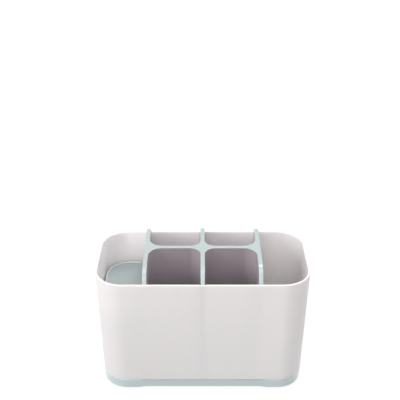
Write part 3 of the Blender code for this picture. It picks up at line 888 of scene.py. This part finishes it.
def feed(tree, target, value):
    """Links a socket to an input, or sets the input's own value."""
    if isinstance(value, bpy.types.NodeSocket):
        tree.links.new(value, target)
    else:
        target.default_value = value

def set_inputs(node, values):
    """Sets the values of a node's own sockets."""
    for label, value in values.items():
        node.inputs[label].default_value = value

def math_node(tree, operation, first, second):
    node = tree.nodes.new("ShaderNodeMath")
    node.operation = operation
    feed(tree, node.inputs[0], first)
    feed(tree, node.inputs[1], second)
    return node.outputs[0]

def noise_node(tree, vector, scale, detail):
    """A noise whose value is spread about zero, from about -1 to 1."""
    node = tree.nodes.new("ShaderNodeTexNoise")
    feed(tree, node.inputs["Vector"], vector)
    feed(tree, node.inputs["Scale"], scale)
    feed(tree, node.inputs["Detail"], detail)
    centred = math_node(tree, "SUBTRACT", node.outputs["Fac"], 0.5)
    return math_node(tree, "MULTIPLY", centred, 4.0)

# %% Build the shared skin
DRIFT_SCALE = 14.0
SPECKLE_SCALE = 620.0
SMEAR_SCALE = 38.0
skin, skin_in, skin_out = new_group(
    "moulded_skin",
    [
        ("Colour", "Color", (0.8, 0.8, 0.8, 1.0)),
        ("Tone Drift", "Float", 0.02),
        ("Speckle", "Float", 0.01),
        ("Roughness", "Float", 0.3),
        ("Polish", "Float", 0.04),
        ("Grain Size", "Float", 900.0),
        ("Grain Height", "Float", 0.00001),
    ],
    [("Colour", "Color"), ("Roughness", "Float"), ("Height", "Float")],
)
place = skin.nodes.new("ShaderNodeTexCoord").outputs["Object"]

def skin_noise(scale, detail, amount):
    """A noise on the piece's own coordinates, times one of the group's inputs."""
    return math_node(skin, "MULTIPLY", noise_node(skin, place, scale, detail), skin_in.outputs[amount])

drift = skin_noise(DRIFT_SCALE, 2.0, "Tone Drift")
speckle = skin_noise(SPECKLE_SCALE, 1.0, "Speckle")
tone = math_node(skin, "ADD", math_node(skin, "ADD", drift, speckle), 1.0)
tinted = skin.nodes.new("ShaderNodeVectorMath")
tinted.operation = "SCALE"
feed(skin, tinted.inputs[0], skin_in.outputs["Colour"])
feed(skin, tinted.inputs["Scale"], tone)
smears = skin_noise(SMEAR_SCALE, 4.0, "Polish")
roughness = math_node(skin, "ADD", smears, skin_in.outputs["Roughness"])
grain = skin_noise(skin_in.outputs["Grain Size"], 2.0, "Grain Height")
for label, result in (("Colour", tinted.outputs[0]), ("Roughness", roughness), ("Height", grain)):
    feed(skin, skin_out.inputs[label], result)
print("group moulded_skin:", len(skin.nodes), "nodes")

# %% [markdown]
# ## The painted light and shade
#
# This group turns the two attributes into colour. It mixes a shade colour in by the painted shade, and then a
# light colour by the painted light, so that the light on a rim covers the shade. Vertex colours could hold
# the finished tones, but each new colour would mean marking the mesh again. A piece without the attributes
# keeps its own colour.

# %% Build the shared painted light and shade
painted_tint, painted_tint_in, painted_tint_out = new_group(
    "painted_light_and_shade",
    [
        ("Colour", "Color", (0.5, 0.5, 0.5, 1.0)),
        ("Painted Shade Colour", "Color", (0.3, 0.3, 0.3, 1.0)),
        ("Painted Light Colour", "Color", (0.8, 0.8, 0.8, 1.0)),
    ],
    [("Colour", "Color")],
)
mixed = painted_tint_in.outputs["Colour"]
for attribute, label in (("painted_shade", "Painted Shade Colour"), ("painted_light", "Painted Light Colour")):
    mask = painted_tint.nodes.new("ShaderNodeAttribute")
    mask.attribute_name = attribute
    mix = painted_tint.nodes.new("ShaderNodeMix")
    mix.data_type = "RGBA"
    feed(painted_tint, mix.inputs["Factor"], mask.outputs["Fac"])
    feed(painted_tint, mix.inputs["A"], mixed)
    feed(painted_tint, mix.inputs["B"], painted_tint_in.outputs[label])
    mixed = mix.outputs["Result"]
feed(painted_tint, painted_tint_out.inputs["Colour"], mixed)
print("group painted_light_and_shade:", len(painted_tint.nodes), "nodes")

# %% [markdown]
# ## The materials
#
# In the photograph the divider's walls are mauve grey, its shelf is bluer and the tray is the palest blue.
# The tray gets its own colour. The divider's plastic is painted as two copies: a mauve one with painted shade
# for its walls, and a bluer one with painted light from above for its shelf and the tops of its walls. A
# clear coat gives them a soft gloss. A lower roughness could do that too, but the skin beneath would lose its
# sheen.
#
# The sleeve is a satin pink that lets a little light through, which subsurface scattering shows. The feet are
# rubber, with a deeper grain and no coat.

# %% A helper that makes a material
def skin_material(name, colour, roughness, skin_values, finish, painted_light_colour=None, painted_shade_colour=None):
    """A material that holds the skin, the painted light and shade, a Bump node and the shader."""
    material = bpy.data.materials.new(name)
    material.use_nodes = True
    tree = material.node_tree
    shader = tree.nodes["Principled BSDF"]
    set_inputs(shader, finish)
    group = tree.nodes.new("ShaderNodeGroup")
    group.node_tree = skin
    set_inputs(group, {"Colour": (*colour, 1.0), "Roughness": roughness, **skin_values})
    bump = tree.nodes.new("ShaderNodeBump")
    bump.inputs["Distance"].default_value = 1.0
    feed(tree, bump.inputs["Height"], group.outputs["Height"])
    feed(tree, shader.inputs["Normal"], bump.outputs["Normal"])
    feed(tree, shader.inputs["Roughness"], group.outputs["Roughness"])
    surface = group.outputs["Colour"]
    if painted_light_colour:
        tint = tree.nodes.new("ShaderNodeGroup")
        tint.node_tree = painted_tint
        painted_shade_colour = painted_shade_colour or colour
        set_inputs(tint, {"Painted Light Colour": (*painted_light_colour, 1.0), "Painted Shade Colour": (*painted_shade_colour, 1.0)})
        feed(tree, tint.inputs["Colour"], surface)
        surface = tint.outputs["Colour"]
    feed(tree, shader.inputs["Base Color"], surface)
    print("material", name, len(tree.nodes), "nodes")
    return material

# %% Make the plastics and the rubber
PLASTIC_SKIN = {
    "Tone Drift": 0.013, "Speckle": 0.009, "Polish": 0.03, "Grain Size": 900.0, "Grain Height": 0.000006,
}
SLEEVE_SKIN = {**PLASTIC_SKIN, "Tone Drift": 0.010, "Speckle": 0.007}
RUBBER_SKIN = {
    "Tone Drift": 0.05, "Speckle": 0.05, "Polish": 0.05, "Grain Size": 1400.0, "Grain Height": 0.00004,
}
SOFT_COAT = {"Coat Weight": 0.3, "Coat Roughness": 0.1}
GLOSSY_COAT = {"Coat Weight": 1.0, "Coat Roughness": 0.08}
LIGHT_THROUGH = {
    "Subsurface Weight": 0.55, "Subsurface Radius": (1.0, 0.85, 0.83), "Subsurface Scale": 0.003,
}
# The pale colour after each base colour is painted light on rims and insides.
DIVIDER_PAINTED_LIGHT = (0.58, 0.655, 0.65)
# The mauve grey of the divider's walls, and the darker mauve towards the foot, are painted shade.
divider_plastic = skin_material(
    "divider_plastic", (0.53, 0.475, 0.505), 0.24, PLASTIC_SKIN, SOFT_COAT, DIVIDER_PAINTED_LIGHT,
    painted_shade_colour=(0.205, 0.177, 0.197),
)
# A bluer copy of the divider's plastic, painted as lit from above, for the shelf and the tops of the walls.
lit_copy_plastic = skin_material(
    "lit_copy_plastic", (0.37, 0.432, 0.429), 0.24, PLASTIC_SKIN, SOFT_COAT, DIVIDER_PAINTED_LIGHT
)
# The tray's pale colour is a painted highlight on its rims, and its mauve is painted shade in the dish.
tray_plastic = skin_material(
    "tray_plastic", (0.49, 0.60, 0.62), 0.22, PLASTIC_SKIN, GLOSSY_COAT, (0.74, 0.86, 0.85),
    painted_shade_colour=(0.29, 0.25, 0.27),
)
# The sleeve's paler colour is painted light on its inside and lip, and its deeper one is painted shade on the
# top of the lip.
sleeve_plastic = skin_material(
    "sleeve_plastic", (0.93, 0.88, 0.874), 0.34, SLEEVE_SKIN, LIGHT_THROUGH, (0.98, 0.912, 0.908),
    painted_shade_colour=(0.70, 0.65, 0.645),
)
rubber = skin_material("grey_rubber", (0.32, 0.35, 0.35), 0.8, RUBBER_SKIN, {})

# %% Give the pieces their materials
SHELF_INDEX = 1
for piece, plastic in (
    (insert_piece, divider_plastic), (insert_piece, lit_copy_plastic),
    (sleeve_piece, sleeve_plastic), (tray_piece, tray_plastic),
):
    piece.data.materials.append(plastic)
# The shelf and the tops of the walls get the bluer copy, painted as lit from above.
for face in insert_piece.data.polygons:
    top_of_rim = on_divider_rim(face) and face.normal.z > MOSTLY_UPRIGHT
    if face.center.x < SHELF_START_X or top_of_rim:
        face.material_index = SHELF_INDEX
for name in feet:
    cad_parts[name].material_slots[0].material = rubber
bluer = sum(face.material_index == SHELF_INDEX for face in insert_piece.data.polygons)
print("bluer faces of the divider:", bluer)

# %% [markdown]
# ## The floor and the world
#
# The photograph shows the pieces on plain white. More light could make the background white, but the pale
# plastics would turn white with it. Instead the floor and the world look brighter to the camera and to glossy
# and transmitted rays than they are for the light that falls on the caddy. The floor's own colour is a middle
# grey, so that it throws little light up, and it keeps the caddy's shadow.

# %% Build the floor
FLOOR_HALF_SIZE = 6.0
floor_bm = bmesh.new()
bmesh.ops.create_grid(floor_bm, x_segments=1, y_segments=1, size=FLOOR_HALF_SIZE)
floor_mesh = bpy.data.meshes.new("floor")
floor_bm.to_mesh(floor_mesh)
floor_bm.free()
floor = bpy.data.objects.new("floor", floor_mesh)
bpy.context.scene.collection.objects.link(floor)
print("floor:", 2 * FLOOR_HALF_SIZE, "m wide")

# %% Make the floor's material
NEAR_DISTANCE = 0.3
FAR_DISTANCE = 1.5
NEAR_LIFT = 0.75
FAR_LIFT = 1.0

def seen_directly(tree):
    """1 for camera, glossy and transmission rays, and 0 for the rays that carry light."""
    path = tree.nodes.new("ShaderNodeLightPath")
    seen = math_node(tree, "MAXIMUM", path.outputs["Is Camera Ray"], path.outputs["Is Glossy Ray"])
    return math_node(tree, "MAXIMUM", seen, path.outputs["Is Transmission Ray"])

floor_material = bpy.data.materials.new("pale_floor")
floor_material.use_nodes = True
floor_tree = floor_material.node_tree
floor_shader = floor_tree.nodes["Principled BSDF"]
set_inputs(floor_shader, {
    "Base Color": (0.25, 0.25, 0.25, 1.0), "Roughness": 0.9, "Specular IOR Level": 0.0,
    "Emission Color": (1.0, 1.0, 1.0, 1.0),
})
distance = floor_tree.nodes.new("ShaderNodeVectorMath")
distance.operation = "LENGTH"
feed(floor_tree, distance.inputs[0], floor_tree.nodes.new("ShaderNodeTexCoord").outputs["Object"])
floor_lift = floor_tree.nodes.new("ShaderNodeMapRange")
feed(floor_tree, floor_lift.inputs["Value"], distance.outputs["Value"])
set_inputs(floor_lift, {
    "From Min": NEAR_DISTANCE, "From Max": FAR_DISTANCE, "To Min": NEAR_LIFT, "To Max": FAR_LIFT,
})
glow = math_node(floor_tree, "MULTIPLY", seen_directly(floor_tree), floor_lift.outputs["Result"])
feed(floor_tree, floor_shader.inputs["Emission Strength"], glow)
floor_mesh.materials.append(floor_material)
print("floor material:", len(floor_tree.nodes), "nodes")

# %% Build the world
WORLD_LEVEL = 0.6
world = bpy.data.worlds.new("studio")
world.use_nodes = True
bpy.context.scene.world = world
world_tree = world.node_tree
background = world_tree.nodes["Background"]
background.inputs["Color"].default_value = (1.0, 1.0, 1.0, 1.0)
lift = math_node(world_tree, "MULTIPLY", seen_directly(world_tree), 1.0 - WORLD_LEVEL)
feed(world_tree, background.inputs["Strength"], math_node(world_tree, "ADD", lift, WORLD_LEVEL))
print("level of the world's light:", WORLD_LEVEL)

# %% [markdown]
# ## The lamps
#
# The world gives most of the light, evenly from all round. Five weak rectangular lamps lay soft differences
# over it: one overhead, one behind, the strongest at the left, where the photograph is brightest, and two
# faint pink ones that fill the front and the right. One large lamp could do the work of all five, but the
# plastics would clip to white on its side and go grey on the other.

# %% Hang the lamps
LIGHT_AIM = Vector((0.0, 0.0, 0.1))
for name, place, width, height, power, colour in (
    ("overhead_softbox", (-0.05, -0.25, 1.2), 0.6, 0.6, 3.8, (0.95, 1.0, 1.0)),
    ("rear_softbox", (0.25, 0.6, 1.05), 0.3, 0.5, 4.5, (0.97, 1.0, 1.0)),
    ("left_key", (-1.1, -0.45, 0.75), 0.6, 0.6, 7.2, (1.0, 0.985, 0.99)),
    ("front_fill", (-0.15, -1.15, 0.75), 0.7, 0.7, 4.0, (1.0, 0.97, 0.98)),
    ("right_fill", (0.9, 0.5, 0.95), 0.6, 0.6, 3.2, (1.0, 0.97, 0.98)),
):
    lamp = bpy.data.lights.new(name, "AREA")
    lamp.shape = "RECTANGLE"
    lamp.size = width
    lamp.size_y = height
    lamp.energy = power
    lamp.color = colour
    lamp_object = bpy.data.objects.new(name, lamp)
    lamp_object.location = place
    lamp_object.rotation_euler = (LIGHT_AIM - Vector(place)).to_track_quat("-Z", "Y").to_euler()
    bpy.context.scene.collection.objects.link(lamp_object)
    print("lamp", name, "of", power, "W")

# %% [markdown]
# ## The camera
#
# The photograph shows the three mouldings pulled apart, one above the other, from about 30 degrees above. The
# camera looks down at that angle and takes in the caddy with both joints at their upper limits. It could be
# aimed at the caddy at rest, but then the lifted divider would leave the picture.

# %% Set the camera
CAMERA_DISTANCE = 0.6
CAMERA_ELEVATION = math.radians(29)
CAMERA_AIM = Vector((-0.0022, 0.0, 0.166))
CAMERA_LENS = 66.5
camera = bpy.data.cameras.new("camera")
camera.lens = CAMERA_LENS
camera_object = bpy.data.objects.new("camera", camera)
backwards = Vector((0.0, -math.cos(CAMERA_ELEVATION), math.sin(CAMERA_ELEVATION)))
camera_object.location = CAMERA_AIM + backwards * CAMERA_DISTANCE
camera_object.rotation_euler = (-backwards).to_track_quat("-Z", "Y").to_euler()
bpy.context.scene.collection.objects.link(camera_object)
bpy.context.scene.camera = camera_object
bpy.context.scene.view_settings.view_transform = "Standard"
print("camera at", [round(value, 3) for value in camera_object.location])
